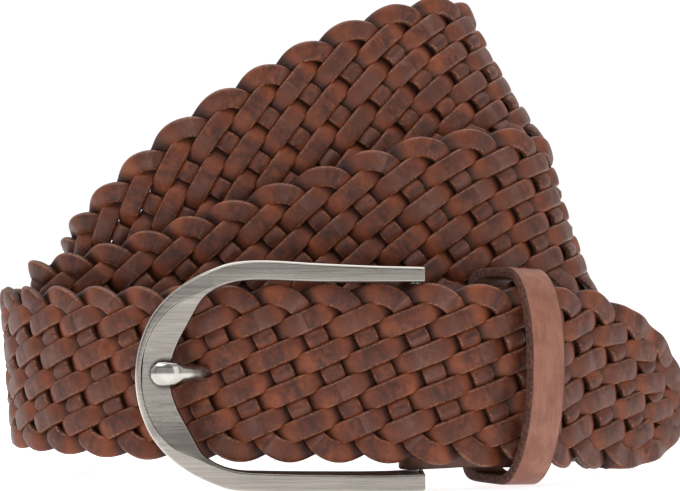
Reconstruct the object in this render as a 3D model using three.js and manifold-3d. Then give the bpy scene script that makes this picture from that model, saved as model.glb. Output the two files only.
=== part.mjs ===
// Braided leather belt, buckled and coiled in three fanned turns, standing on its edge.
// Millimetres, +Z up, the buckle faces -Y.
import * as THREE from "three";
import { mergeVertices } from "three/addons/utils/BufferGeometryUtils.js";
import Module from "manifold-3d";

const wasm = await Module();
wasm.setup();

// driving sizes
const BAND_WIDTH = 35;
const BAND_THICKNESS = 4;
const TURN_SPACING = 9.79;
const EDGE_SCALLOP = 1.0;
const COIL_WIDTH = 128.8;
const COIL_DEPTH = 103;
const FAN_RISE = 62.85;
const FRAME_SIDE_ROOM = 0.715;
const ARM_INSIDE_SHARE = 0.815;
const FOOT_INSIDE_SHARE = 0.85;
const FRAME_HEIGHT = (BAND_WIDTH + 2 * FRAME_SIDE_ROOM) / ARM_INSIDE_SHARE;
const FRAME_MIDDLE = FRAME_HEIGHT / 2;
const FRAME_LENGTH = 56;
const FRAME_DEPTH = 14.3;
const BAR_DIAMETER = 3;
const CHAPE_THICKNESS = 1.3;
const CHAPE_REACH = 27.5;
const CHAPE_TAPER_FROM = 17;
const KEEPER_WIDTH = 8.5;
const KEEPER_THICKNESS = 2.1;
const KEEPER_BACK = 5.5;
const PRONG_THICKNESS = 2.2;
const PRONG_WIDTH = 3.4;
const CLEARANCE = 0.3;

// finishes
const leather = new THREE.MeshStandardMaterial({ name: "braid_leather", color: 0x78472f, roughness: 0.55 });
const foldLeather = new THREE.MeshStandardMaterial({ name: "chape_leather", color: 0x5f3a2b, roughness: 0.6 });
const keeperLeather = new THREE.MeshStandardMaterial({ name: "keeper_leather", color: 0xa56e5a, roughness: 0.5 });
const satin = new THREE.MeshStandardMaterial({
  name: "satin_nickel", color: 0xb4aea6, roughness: 0.35, metalness: 1,
});
const polish = new THREE.MeshStandardMaterial({
  name: "polished_nickel", color: 0xd4d0ca, roughness: 0.12, metalness: 1,
});

// Where the middle of the band runs: across and away as shares of the coil, its rise above the buckle's middle
// as a share of the fan's, the way it heads and leans in degrees, its width as a share, how steeply it climbs.
const RUN = [
  { at: "bar end", across: 0.1685, away: 0.0685, heading: 10, rise: -0.0008, tilt: 0, lean: 0, width: 0.98, climb: 0 },
  { at: "under keeper", across: 0.2826, away: 0.132, heading: 46, rise: -0.012, tilt: 0, lean: 0, width: 1, climb: -3 },
  { at: "right 1", across: 0.4503, away: 0.4563, heading: 90, rise: -0.0644, tilt: 0, lean: 0, width: 1, climb: -1 },
  { at: "back 1", across: 0.0753, away: 0.9029, heading: 180, rise: -0.0739, tilt: 0, lean: 0, width: 1, climb: 0 },
  { at: "left 2", across: -0.4821, away: 0.3786, heading: 270, rise: 0.0978, tilt: 12, lean: 0, width: 1, climb: 3 },
  { at: "front 2", across: 0.0738, away: 0.199, heading: 360, rise: 0.4537, tilt: 18, lean: 0, width: 1, climb: 17.8 },
  { at: "right 2", across: 0.376, away: 0.4223, heading: 450, rise: 0.48, tilt: 18.5, lean: 0, width: 1, climb: -18.5 },
  { at: "back 2", across: 0.0303, away: 0.8155, heading: 540, rise: 0.2841, tilt: 18, lean: 0, width: 1, climb: -12 },
  { at: "left 3", across: -0.4053, away: 0.4466, heading: 630, rise: 0.194, tilt: 20.5, lean: 0, width: 1, climb: 22 },
  { at: "front 3", across: -0.1436, away: 0.2767, heading: 720, rise: 0.681, tilt: 27, lean: 0, width: 1, climb: 31.5 },
  { at: "right 3", across: 0.2733, away: 0.5243, heading: 810, rise: 1, tilt: 30, lean: 0, width: 1, climb: -17 },
  { at: "back 3", across: -0.1203, away: 1, heading: 900, rise: 0.2745, tilt: 22.5, lean: 0, width: 1, climb: -20 },
  { at: "left 1", across: -0.5419, away: 0.3883, heading: 990, rise: 0.0104, tilt: 4.7, lean: -4, width: 0.96, climb: 1.5 },
  { at: "prong", across: -0.2329, away: 0.0214, heading: 1066, rise: 0.006, tilt: 0, lean: 0, width: 0.97, climb: 0 },
  { at: "front 1", across: 0.0714, away: 0, heading: 1080, rise: 0.008, tilt: 0, lean: 0, width: 0.99, climb: 0 },
  { at: "keeper", across: 0.3168, away: 0.0913, heading: 1126, rise: -0.0095, tilt: 0, lean: 0, width: 1.02, climb: -2 },
  { at: "tip", across: 0.573, away: 0.4272, heading: 1130, rise: -0.059, tilt: -0.5, lean: 0, width: 1.04, climb: -3 },
];
// How much of the half width is left near the rounded tip, above and below the middle,
// by the distance before its end as a share of the band's width.
const TIP = [
  { before: 0, above: 0.02, below: 0.34 },
  { before: 0.0457, above: 0.08, below: 0.56 },
  { before: 0.1286, above: 0.28, below: 0.72 },
  { before: 0.2857, above: 0.56, below: 0.87 },
  { before: 0.5571, above: 0.8, below: 0.98 },
  { before: 0.7714, above: 0.91, below: 1 },
  { before: 0.9714, above: 1, below: 1 },
];

const rad = THREE.MathUtils.degToRad;
const mix = THREE.MathUtils.lerp;

function hermite(a, b, slopeA, slopeB, t, span) {
  const t2 = t * t;
  const t3 = t2 * t;
  return (2 * t3 - 3 * t2 + 1) * a + (t3 - 2 * t2 + t) * span * slopeA
    + (3 * t2 - 2 * t3) * b + (t3 - t2) * span * slopeB;
}

// Reads a table by one of its columns, straight between rows and level outside them.
function lookUp(rows, key, value, at) {
  if (at <= rows[0][key]) return rows[0][value];
  for (let i = 1; i < rows.length; i++) {
    if (at <= rows[i][key]) {
      const t = (at - rows[i - 1][key]) / (rows[i][key] - rows[i - 1][key]);
      return mix(rows[i - 1][value], rows[i][value], t);
    }
  }
  return rows[rows.length - 1][value];
}

// The run of the band as closely spaced frames: middle, along, across, outward, width, distance.
function bandRun(steps) {
  const spots = RUN.map((r) => new THREE.Vector2(r.across * COIL_WIDTH, r.away * COIL_DEPTH));
  const ways = RUN.map((r) => new THREE.Vector2(Math.cos(rad(r.heading)), Math.sin(rad(r.heading))));
  const plan = [];
  for (let i = 0; i + 1 < RUN.length; i++) {
    const chord = spots[i + 1].clone().sub(spots[i]);
    const turn = rad(RUN[i + 1].heading - RUN[i].heading);
    const reach = (4 / 3) * Math.tan(turn / 4) / Math.sin(turn);
    const curve = new THREE.CubicBezierCurve(
      spots[i],
      spots[i].clone().addScaledVector(ways[i], reach * Math.abs(chord.dot(ways[i]))),
      spots[i + 1].clone().addScaledVector(ways[i + 1], -reach * Math.abs(chord.dot(ways[i + 1]))),
      spots[i + 1],
    );
    for (let k = 0; k < steps; k++) plan.push(curve.getPoint(k / steps));
  }
  plan.push(spots[spots.length - 1]);
  const gone = [0];
  for (let i = 1; i < plan.length; i++) gone.push(gone[i - 1] + plan[i].distanceTo(plan[i - 1]));
  const marks = RUN.map((_, i) => gone[i * steps]);
  const slope = (key, i) => {
    const a = Math.max(i - 1, 0);
    const b = Math.min(i + 1, RUN.length - 1);
    return (RUN[b][key] - RUN[a][key]) / (marks[b] - marks[a]);
  };
  const height = (i) => FRAME_MIDDLE + RUN[i].rise * FAN_RISE;
  const eased = (key, n) => {
    const i = Math.min(Math.floor(n / steps), RUN.length - 2);
    const span = marks[i + 1] - marks[i];
    const t = (gone[n] - marks[i]) / span;
    if (key === "rise") {
      return hermite(
        height(i), height(i + 1), Math.tan(rad(RUN[i].climb)), Math.tan(rad(RUN[i + 1].climb)), t, span,
      );
    }
    return hermite(RUN[i][key], RUN[i + 1][key], slope(key, i), slope(key, i + 1), t, span);
  };
  const middles = plan.map((p, n) => new THREE.Vector3(p.x, p.y, eased("rise", n)));
  let distance = 0;
  return middles.map((middle, n) => {
    if (n > 0) distance += middle.distanceTo(middles[n - 1]);
    const along = middles[Math.min(n + 1, middles.length - 1)].clone()
      .sub(middles[Math.max(n - 1, 0)]).normalize();
    const across = new THREE.Vector3(
      -Math.sin(rad(eased("tilt", n))), Math.sin(rad(eased("lean", n))), Math.cos(rad(eased("tilt", n))),
    );
    across.addScaledVector(along, -across.dot(along)).normalize();
    const outward = along.clone().cross(across);
    return { middle, along, across, outward, width: eased("width", n) * BAND_WIDTH / 2, distance };
  });
}

const STEPS = 24;
const run = bandRun(STEPS);
const RUN_LENGTH = run[run.length - 1].distance;

// One frame at a distance along the run.
function frameAt(distance) {
  let i = 1;
  while (i < run.length - 1 && run[i].distance < distance) i++;
  const a = run[i - 1];
  const b = run[i];
  const t = (distance - a.distance) / (b.distance - a.distance);
  return {
    middle: a.middle.clone().lerp(b.middle, t),
    along: a.along.clone().lerp(b.along, t).normalize(),
    across: a.across.clone().lerp(b.across, t).normalize(),
    outward: a.outward.clone().lerp(b.outward, t).normalize(),
    width: mix(a.width, b.width, t),
  };
}

// A point beside a frame: out from it and up across it.
function beside(frame, out, up) {
  return frame.middle.clone().addScaledVector(frame.outward, out).addScaledVector(frame.across, up);
}

// One closed body through rings of the same number of points.
function skin(rings, closed = false) {
  const count = rings[0].length;
  const points = rings.flat();
  const faces = [];
  const last = closed ? rings.length : rings.length - 1;
  for (let r = 0; r < last; r++) {
    const next = (r + 1) % rings.length;
    for (let k = 0; k < count; k++) {
      const a = r * count + k;
      const b = r * count + ((k + 1) % count);
      const c = next * count + k;
      const d = next * count + ((k + 1) % count);
      faces.push(a, c, b, b, c, d);
    }
  }
  if (!closed) {
    const far = (rings.length - 1) * count;
    for (let k = 1; k + 1 < count; k++) {
      faces.push(0, k, k + 1);
      faces.push(far, far + k + 1, far + k);
    }
  }
  const geometry = new THREE.BufferGeometry().setFromPoints(points);
  geometry.setIndex(faces);
  return geometry;
}

// A body turned right side out, whichever way its rings were listed.
function solid(geometry) {
  const bare = new THREE.BufferGeometry().setAttribute("position", geometry.getAttribute("position"));
  bare.setIndex(geometry.index);
  const merged = mergeVertices(bare, 1e-4);
  const corners = new Uint32Array(merged.index.array);
  const make = () => new wasm.Manifold(new wasm.Mesh({
    numProp: 3, vertProperties: new Float32Array(merged.attributes.position.array), triVerts: corners,
  }));
  const first = make();
  if (first.volume() > 0) return first;
  for (let i = 0; i < corners.length; i += 3) [corners[i + 1], corners[i + 2]] = [corners[i + 2], corners[i + 1]];
  return make();
}

function geometryOf(manifold) {
  const mesh = manifold.getMesh();
  const position = new Float32Array(mesh.numVert * 3);
  for (let i = 0; i < mesh.numVert; i++) {
    position.set(mesh.vertProperties.subarray(i * mesh.numProp, i * mesh.numProp + 3), i * 3);
  }
  const geometry = new THREE.BufferGeometry()
    .setAttribute("position", new THREE.BufferAttribute(position, 3))
    .setIndex(new THREE.BufferAttribute(mesh.triVerts, 1));
  geometry.computeVertexNormals();
  return geometry;
}

const group = new THREE.Group();
function addNode(name, manifold, material) {
  const mesh = new THREE.Mesh(geometryOf(manifold), material);
  mesh.name = name;
  group.add(mesh);
}

// braided band
const SECTIONS_PER_TURN = 3;
function bandRings() {
  const step = TURN_SPACING / SECTIONS_PER_TURN;
  const count = Math.round(RUN_LENGTH / step);
  const half = BAND_THICKNESS / 2;
  const bow = Array.from({ length: SECTIONS_PER_TURN }, (_, k) =>
    EDGE_SCALLOP * (1 - Math.cos((2 * Math.PI * k) / SECTIONS_PER_TURN)) / 2);
  return Array.from({ length: count + 1 }, (_, n) => {
    const distance = (RUN_LENGTH * n) / count;
    const frame = frameAt(distance);
    const left = RUN_LENGTH - distance;
    const before = left / BAND_WIDTH;
    const thin = half * Math.min(1, 0.55 + before * 5.8);
    const top = (frame.width - bow[n % SECTIONS_PER_TURN]) * lookUp(TIP, "before", "above", before);
    const low = -(frame.width - bow[(n + 1) % SECTIONS_PER_TURN]) * lookUp(TIP, "before", "below", before);
    const ease = Math.min(half * 0.65, (top - low) / 5);
    return [
      beside(frame, -thin * 0.4, low), beside(frame, thin * 0.4, low),
      beside(frame, thin, low + ease), beside(frame, thin, top - ease),
      beside(frame, thin * 0.4, top), beside(frame, -thin * 0.4, top),
      beside(frame, -thin, top - ease), beside(frame, -thin, low + ease),
    ];
  });
}

// buckle: the frame from the end of its arms to the middle of its curve, outer and inner edge,
// along as shares of its length, top and foot as shares of half its height, front and back of its depth
const FRAME_HALF = [
  { outX: 0.2946, inX: 0.2946, top: 0.94, topIn: 0.815, foot: 0.992, footIn: FOOT_INSIDE_SHARE, rim: 0.94, front: -0.2378, back: 0.6084 },
  { outX: 0.2804, inX: 0.2804, top: 0.945, topIn: 0.815, foot: 1, footIn: FOOT_INSIDE_SHARE, rim: 0.94, front: -0.2517, back: 0.6294 },
  { outX: 0.1375, inX: 0.1375, top: 0.953, topIn: 0.815, foot: 1, footIn: 0.857, rim: 0.94, front: -0.2797, back: 0.4895 },
  { outX: -0.0714, inX: -0.0714, top: 0.975, topIn: 0.815, foot: 1, footIn: FOOT_INSIDE_SHARE, rim: 0.94, front: -0.3217, back: 0.3217 },
  { outX: -0.2679, inX: -0.2679, top: 1, topIn: 0.83, foot: 1, footIn: 0.836, rim: 0.94, front: -0.3497, back: 0.1399 },
  { outX: -0.375, inX: -0.3571, top: 0.98, topIn: 0.815, foot: 0.98, footIn: 0.815, rim: 0.94, front: -0.3636, back: -0.0629 },
  { outX: -0.45, inX: -0.4214, top: 0.915, topIn: 0.762, foot: 0.915, footIn: 0.762, rim: 0.92, front: -0.3706, back: -0.1678 },
  { outX: -0.5179, inX: -0.4714, top: 0.83, topIn: 0.675, foot: 0.83, footIn: 0.675, rim: 0.8, front: -0.3706, back: -0.1818 },
  { outX: -0.5893, inX: -0.5054, top: 0.698, topIn: 0.54, foot: 0.698, footIn: 0.54, rim: 0.42, front: -0.3706, back: -0.1818 },
  { outX: -0.6429, inX: -0.5304, top: 0.545, topIn: 0.425, foot: 0.545, footIn: 0.425, rim: 0.28, front: -0.3706, back: -0.1818 },
  { outX: -0.6768, inX: -0.5571, top: 0.38, topIn: 0.3, foot: 0.38, footIn: 0.3, rim: 0.22, front: -0.3706, back: -0.1818 },
  { outX: -0.6982, inX: -0.5786, top: 0.195, topIn: 0.155, foot: 0.195, footIn: 0.155, rim: 0.2, front: -0.3706, back: -0.1818 },
  { outX: -0.7054, inX: -0.5857, top: 0, topIn: 0, foot: 0, footIn: 0, rim: 0.2, front: -0.3706, back: -0.1818 },
];
const RIM_BEVEL = 0.5;
const PLATE_STEP = 0.35;
const PLATE_SLOPE = 0.5;

function frameRing(row, side) {
  const outZ = side > 0 ? row.top : -row.foot;
  const inZ = side > 0 ? row.topIn : -row.footIn;
  const front = row.front * FRAME_DEPTH;
  const back = row.back * FRAME_DEPTH;
  const at = (share, y) => new THREE.Vector3(
    mix(row.outX, row.inX, share) * FRAME_LENGTH, y, FRAME_MIDDLE + mix(outZ, inZ, share) * FRAME_MIDDLE,
  );
  const across = Math.hypot((row.outX - row.inX) * FRAME_LENGTH, (outZ - inZ) * FRAME_MIDDLE);
  const bevel = RIM_BEVEL / across;
  const flat = Math.min(1, (1 - row.rim) * 1.4);
  return [
    at(0, front + RIM_BEVEL),
    at(bevel, front),
    at(row.rim - bevel * 0.4, front),
    at(row.rim, front + PLATE_STEP * flat + 0.06),
    at(1 - bevel * 0.3 * flat, front + (PLATE_STEP + PLATE_SLOPE) * flat + 0.12),
    at(1, front + (PLATE_STEP + PLATE_SLOPE) * flat + 0.5),
    at(1, back),
    at(bevel, back),
    at(0, back - RIM_BEVEL),
  ];
}

function prongBody(extra) {
  const rows = [
    { x: 0.2357, y: 0.3147, wide: 1, thick: 0.8 },
    { x: 0.1429, y: 0.2867, wide: 1, thick: 1 },
    { x: -0.0714, y: 0.3147, wide: 1, thick: 1 },
    { x: -0.2321, y: 0.3427, wide: 0.98, thick: 1 },
    { x: -0.3661, y: 0.2797, wide: 0.95, thick: 1 },
    { x: -0.4464, y: 0.0839, wide: 0.95, thick: 1 },
    { x: -0.4964, y: -0.1329, wide: 1, thick: 1 },
    { x: -0.5393, y: -0.3147, wide: 1.12, thick: 1 },
    { x: -0.5714, y: -0.4266, wide: 1.3, thick: 1 },
    { x: -0.6107, y: -0.451, wide: 1.38, thick: 1 },
    { x: -0.6393, y: -0.4476, wide: 1.2, thick: 0.9 },
    { x: -0.6554, y: -0.4406, wide: 0.66, thick: 0.6 },
  ].map((row) => ({ ...row, x: row.x * FRAME_LENGTH, y: row.y * FRAME_DEPTH }));
  const middle = FRAME_MIDDLE + 0.5;
  return rows.map((row, i) => {
    const a = rows[Math.max(i - 1, 0)];
    const b = rows[Math.min(i + 1, rows.length - 1)];
    const along = new THREE.Vector2(b.x - a.x, b.y - a.y).normalize();
    const reach = extra * (i === 0 ? 1 : i === rows.length - 1 ? -1 : 0);
    return Array.from({ length: 10 }, (_, k) => {
      const turn = (2 * Math.PI * (k + 0.5)) / 10;
      const squared = (v) => Math.sign(v) * Math.abs(v) ** 0.75;
      const out = squared(Math.sin(turn)) * (PRONG_THICKNESS * row.thick / 2 + extra);
      const up = squared(Math.cos(turn)) * (PRONG_WIDTH * row.wide / 2 + extra);
      return new THREE.Vector3(
        row.x + along.y * out - along.x * reach, row.y - along.x * out - along.y * reach, middle + up,
      );
    });
  });
}

function cylinder(radius, height, x, y, z, sides) {
  const body = new THREE.CylinderGeometry(radius, radius, height, sides);
  body.rotateX(Math.PI / 2);
  body.translate(x, y, z);
  return solid(body);
}

const barX = FRAME_LENGTH * 0.2625;
const BAR_Y = FRAME_DEPTH * 0.4336;
const armInside = FRAME_MIDDLE * ARM_INSIDE_SHARE;
const CHAPE_HEIGHT = 2 * (armInside - CLEARANCE);
const half = FRAME_HALF.slice(0, -1);
const frameRings = [
  ...half.map((row) => frameRing(row, -1)),
  frameRing(FRAME_HALF[FRAME_HALF.length - 1], 1),
  ...half.slice().reverse().map((row) => frameRing(row, 1)),
];
const bar = cylinder(BAR_DIAMETER / 2, 2 * armInside + 2, barX, BAR_Y, FRAME_MIDDLE, 20);
const notch = solid(skin(prongBody(CLEARANCE)));
const prongEye = cylinder(
  BAR_DIAMETER / 2 + CLEARANCE + PRONG_THICKNESS * 0.75, PRONG_WIDTH, barX, BAR_Y, FRAME_MIDDLE + 0.5, 20,
);
const barRoom = cylinder(BAR_DIAMETER / 2 + CLEARANCE, FRAME_HEIGHT, barX, BAR_Y, FRAME_MIDDLE, 20);
const eyeRoom = cylinder(
  BAR_DIAMETER / 2 + 2 * CLEARANCE + PRONG_THICKNESS * 0.75, PRONG_WIDTH + 2 * CLEARANCE,
  barX, BAR_Y, FRAME_MIDDLE + 0.5, 20,
);

const band = solid(skin(bandRings())).subtract(notch).subtract(eyeRoom);
const frame = solid(skin(frameRings)).subtract(notch).add(bar);
const prong = solid(skin(prongBody(0))).add(prongEye).subtract(barRoom);

// chape: plain leather folded round the bar, one leg on each side of the band's end
const LEG_OUT = BAND_THICKNESS / 2 + CLEARANCE + CHAPE_THICKNESS / 2;
const FOLD_RADIUS = BAR_DIAMETER / 2 + CLEARANCE + CHAPE_THICKNESS / 2;
const CHAPE_END_SHARE = 0.88;
function chapeRings() {
  const legSteps = 7;
  const leg = Array.from({ length: legSteps + 1 }, (_, k) => (CHAPE_REACH * k) / legSteps);
  const taper = (distance) => mix(1, CHAPE_END_SHARE, THREE.MathUtils.smoothstep(distance, CHAPE_TAPER_FROM, CHAPE_REACH));
  const foldSteps = 8;
  const turns = Array.from({ length: foldSteps + 1 }, (_, k) => Math.PI * (1.5 - (k / foldSteps)));
  const middle = leg.map((distance) => beside(frameAt(distance), LEG_OUT, 0)).reverse();
  const tall = leg.map(taper).reverse();
  for (const turn of turns) {
    middle.push(new THREE.Vector3(barX + FOLD_RADIUS * Math.cos(turn), BAR_Y + FOLD_RADIUS * Math.sin(turn), 0));
    tall.push(1);
  }
  middle.push(...leg.map((distance) => beside(frameAt(distance), -LEG_OUT, 0)));
  tall.push(...leg.map(taper));
  return middle.map((p, i) => {
    const a = middle[Math.max(i - 1, 0)];
    const b = middle[Math.min(i + 1, middle.length - 1)];
    const along = new THREE.Vector2(b.x - a.x, b.y - a.y).normalize();
    const drop = THREE.MathUtils.clamp((p.x - barX) / CHAPE_REACH, 0, 1) * -0.9;
    const foot = mix(
      FRAME_MIDDLE * FOOT_INSIDE_SHARE - CLEARANCE, CHAPE_HEIGHT / 2,
      THREE.MathUtils.smoothstep(p.x, barX + 2, barX + 10),
    );
    const ends = [
      [-0.5, -0.5 + 0.012], [-0.3, -0.5], [0.3, -0.5], [0.5, -0.5 + 0.012],
      [0.5, 0.5 - 0.012], [0.3, 0.5], [-0.3, 0.5], [-0.5, 0.5 - 0.012],
    ];
    return ends.map(([out, up]) => new THREE.Vector3(
      p.x + along.y * out * CHAPE_THICKNESS, p.y - along.x * out * CHAPE_THICKNESS,
      FRAME_MIDDLE + drop + up * tall[i] * (up < 0 ? 2 * foot : CHAPE_HEIGHT),
    ));
  });
}
const chape = solid(skin(chapeRings())).subtract(eyeRoom).subtract(notch);

// keeper: a plain loop that bows out round the tip, squarer behind the chape and the band's end
const KEEPER_FRONT_ROUNDING = 2.1;
const KEEPER_BACK_ROUNDING = 8;
function keeperBody() {
  const station = run[RUN.findIndex((r) => r.at === "keeper") * STEPS].distance - KEEPER_BACK;
  const frame = frameAt(station);
  const centre = BAND_THICKNESS * -0.45;
  const front = BAND_THICKNESS * 1.85;
  const back = BAND_THICKNESS * 1.5 + CHAPE_THICKNESS * 2 + CLEARANCE * 8;
  const tall = Math.max(frame.width, CHAPE_HEIGHT / 2) + 5 * CLEARANCE;
  const sides = 40;
  const ring = (grow, shift) => Array.from({ length: sides }, (_, k) => {
    const turn = (2 * Math.PI * (k + 0.5)) / sides;
    const facing = Math.cos(turn) > 0;
    const power = 2 / (facing ? KEEPER_FRONT_ROUNDING : KEEPER_BACK_ROUNDING);
    const curved = (v) => Math.sign(v) * Math.abs(v) ** power;
    const out = centre + curved(Math.cos(turn)) * ((facing ? front : back) + grow);
    const up = curved(Math.sin(turn)) * (tall + grow);
    return beside(frame, out, up).addScaledVector(frame.along, shift);
  });
  const wide = KEEPER_WIDTH / 2;
  const soft = 0.35;
  return [
    ring(0, -wide + soft), ring(soft, -wide), ring(KEEPER_THICKNESS - soft, -wide),
    ring(KEEPER_THICKNESS, -wide + soft), ring(KEEPER_THICKNESS, wide - soft),
    ring(KEEPER_THICKNESS - soft, wide), ring(soft, wide), ring(0, wide - soft),
  ];
}
const keeper = solid(skin(keeperBody(), true));

const pieces = [
  ["strap", band, leather],
  ["buckle_frame", frame, satin],
  ["prong", prong, polish],
  ["chape", chape, foldLeather],
  ["keeper", keeper, keeperLeather],
];
const low = [0, 1, 2].map((axis) => Math.min(...pieces.map(([, piece]) => piece.boundingBox().min[axis])));
const high = [0, 1, 2].map((axis) => Math.max(...pieces.map(([, piece]) => piece.boundingBox().max[axis])));
const toOrigin = [-(low[0] + high[0]) / 2, -(low[1] + high[1]) / 2, -low[2]];
for (const [name, piece, material] of pieces) addNode(name, piece.translate(toOrigin), material);

export default group;
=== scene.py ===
import math

import bmesh
import bpy
import numpy as np
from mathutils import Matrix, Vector


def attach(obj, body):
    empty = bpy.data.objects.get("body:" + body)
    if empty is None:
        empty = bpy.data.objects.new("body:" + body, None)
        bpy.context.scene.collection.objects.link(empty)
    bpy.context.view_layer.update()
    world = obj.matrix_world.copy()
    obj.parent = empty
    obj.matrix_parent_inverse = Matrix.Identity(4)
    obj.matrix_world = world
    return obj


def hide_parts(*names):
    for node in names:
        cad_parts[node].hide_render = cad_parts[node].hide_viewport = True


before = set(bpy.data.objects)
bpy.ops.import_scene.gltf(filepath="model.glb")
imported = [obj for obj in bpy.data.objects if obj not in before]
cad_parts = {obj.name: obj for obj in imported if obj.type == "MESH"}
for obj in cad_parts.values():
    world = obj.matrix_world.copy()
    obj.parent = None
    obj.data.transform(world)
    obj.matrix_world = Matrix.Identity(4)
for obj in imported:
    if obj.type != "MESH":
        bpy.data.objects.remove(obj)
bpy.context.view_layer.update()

MM = 0.001
BELT_ORIGIN = np.array([-0.7826, -48.7262, 0.0])

# sizes that the solids use too
BAND_WIDTH = 35.0
BAND_THICKNESS = 4.0
COIL_WIDTH = 128.8
COIL_DEPTH = 103.0
FAN_RISE = 62.85
FRAME_SIDE_ROOM = 0.715
ARM_INSIDE_SHARE = 0.815
FOOT_INSIDE_SHARE = 0.85
FRAME_HEIGHT = (BAND_WIDTH + 2 * FRAME_SIDE_ROOM) / ARM_INSIDE_SHARE
FRAME_MIDDLE = FRAME_HEIGHT / 2
FRAME_LENGTH = 56.0
FRAME_DEPTH = 14.3
BAR_DIAMETER = 3.0
CHAPE_THICKNESS = 1.3
CHAPE_REACH = 27.5
CHAPE_TAPER_FROM = 17.0
KEEPER_WIDTH = 8.5
KEEPER_THICKNESS = 2.1
KEEPER_BACK = 5.5
KEEPER_FRONT_ROUNDING = 2.1
KEEPER_BACK_ROUNDING = 8.0
PRONG_THICKNESS = 2.2
PRONG_WIDTH = 3.4
CLEARANCE = 0.3

# sizes of the weave
STRANDS = 10
PITCH = 9.79
WEAVE_SPAN = 35.1
STEEP_RUN = 16.2
CORNER_RADIUS = 6.5
STRAND_WIDTH = 4.2
STRAND_THICKNESS = 1.5
STRAND_ROUNDING = 0.55
STRAND_CROWN = 0.3
WEAVE_LIFT = 1.1
SWELL_LOW, SWELL_HIGH = 0.94, 1.04
WEAVE_START = 1.25
CROSSINGS_INSET = 2.2
CORNER_STEPS = 14
# a strand that floats longer than this starts its dive late and ends it early
LONG_FLOAT = 6.5
LONG_DIVE = (0.3, 0.9)
FLOAT_MIDDLE_REACH = 0.62
# how strands sway along the band: reach, length of a wave, shift from strand to strand
SWAY = ((0.12, 9.1, 1.0), (0.1, 3.7, 2.3))
SWAY_STEP = 1.3
CUT_START, CUT_TIP = 0.4, 1.2
GRAIN_SHIFT = 40
# the weave opens a little towards the tip
TIP_OPENING_FROM = 46.0
TIP_OPENING_OVER = 18.0
TIP_OPENING = 0.1
TIP_SWELL, TIP_SWELL_STEPS = 0.08, 90
# the strand round the tip's edge
BORDER_REACH = 0.8
BORDER_POINTS = 160
BORDER_BLUR = 25
BORDER_INSET = 0.42
BORDER_FOLD = 9.0
BORDER_LIFT, BORDER_WAVE = 0.72, 0.28
BORDER_STAND = 0.35
BORDER_DIVE = 4.0
BORDER_TONE_STEP = 0.37
# how far the weave has crept along the band, by the distance along it
WEAVE_CREEP = np.array([(0, 0), (440, 0), (505, 2.2), (640, 2.2), (730, 0), (800, 1.8), (855, 1.5), (885, 0)])

# camera, matched to the photograph's frame
FRAME_PIXELS = 680
FOCAL_PIXELS = 1943.0
SENSOR = 36.0
CAMERA_PLACE = BELT_ORIGIN + (0.0, -380.0, 34.7)
CAMERA_PITCH = 1.961


def add_camera():
    camera = bpy.data.cameras.new("camera")
    camera.sensor_width = SENSOR
    camera.lens = FOCAL_PIXELS * SENSOR / FRAME_PIXELS
    camera.clip_start = 0.01
    camera.clip_end = 20.0
    holder = bpy.data.objects.new("camera", camera)
    holder.location = [v * MM for v in CAMERA_PLACE]
    holder.rotation_euler = (math.radians(90 + CAMERA_PITCH), 0, 0)
    bpy.context.scene.collection.objects.link(holder)
    bpy.context.scene.camera = holder


# Where the middle of the band runs. Columns: across and away as shares of the coil, heading in degrees,
# rise as a share of the fan's, tilt and lean in degrees, width as a share, and climb in degrees.
RUN = np.array([
    (0.1685, 0.0685, 10, -0.0008, 0, 0, 0.98, 0),
    (0.2826, 0.132, 46, -0.012, 0, 0, 1, -3),
    (0.4503, 0.4563, 90, -0.0644, 0, 0, 1, -1),
    (0.0753, 0.9029, 180, -0.0739, 0, 0, 1, 0),
    (-0.4821, 0.3786, 270, 0.0978, 12, 0, 1, 3),
    (0.0738, 0.199, 360, 0.4537, 18, 0, 1, 17.8),
    (0.376, 0.4223, 450, 0.48, 18.5, 0, 1, -18.5),
    (0.0303, 0.8155, 540, 0.2841, 18, 0, 1, -12),
    (-0.4053, 0.4466, 630, 0.194, 20.5, 0, 1, 22),
    (-0.1436, 0.2767, 720, 0.681, 27, 0, 1, 31.5),
    (0.2733, 0.5243, 810, 1, 30, 0, 1, -17),
    (-0.1203, 1, 900, 0.2745, 22.5, 0, 1, -20),
    (-0.5419, 0.3883, 990, 0.0104, 4.7, -4, 0.96, 1.5),
    (-0.2329, 0.0214, 1066, 0.006, 0, 0, 0.97, 0),
    (0.0714, 0, 1080, 0.008, 0, 0, 0.99, 0),
    (0.3168, 0.0913, 1126, -0.0095, 0, 0, 1.02, -2),
    (0.573, 0.4272, 1130, -0.059, -0.5, 0, 1.04, -3),
])
KEEPER_ROW = 15
RISE, TILT, LEAN, WIDTH, CLIMB = 3, 4, 5, 6, 7
# How much of the half width is left near the tip.
# Columns: distance before the end in band widths, share above the middle, share below it.
TIP = np.array([
    (0, 0.02, 0.34),
    (0.0457, 0.08, 0.56),
    (0.1286, 0.28, 0.72),
    (0.2857, 0.56, 0.87),
    (0.5571, 0.8, 0.98),
    (0.7714, 0.91, 1),
    (0.9714, 1, 1),
])


def hermite(a, b, slope_a, slope_b, t, span):
    t2, t3 = t * t, t * t * t
    return ((2 * t3 - 3 * t2 + 1) * a + (t3 - 2 * t2 + t) * span * slope_a
            + (3 * t2 - 2 * t3) * b + (t3 - t2) * span * slope_b)


def unit(v):
    return v / np.linalg.norm(v, axis=-1, keepdims=True)


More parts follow.
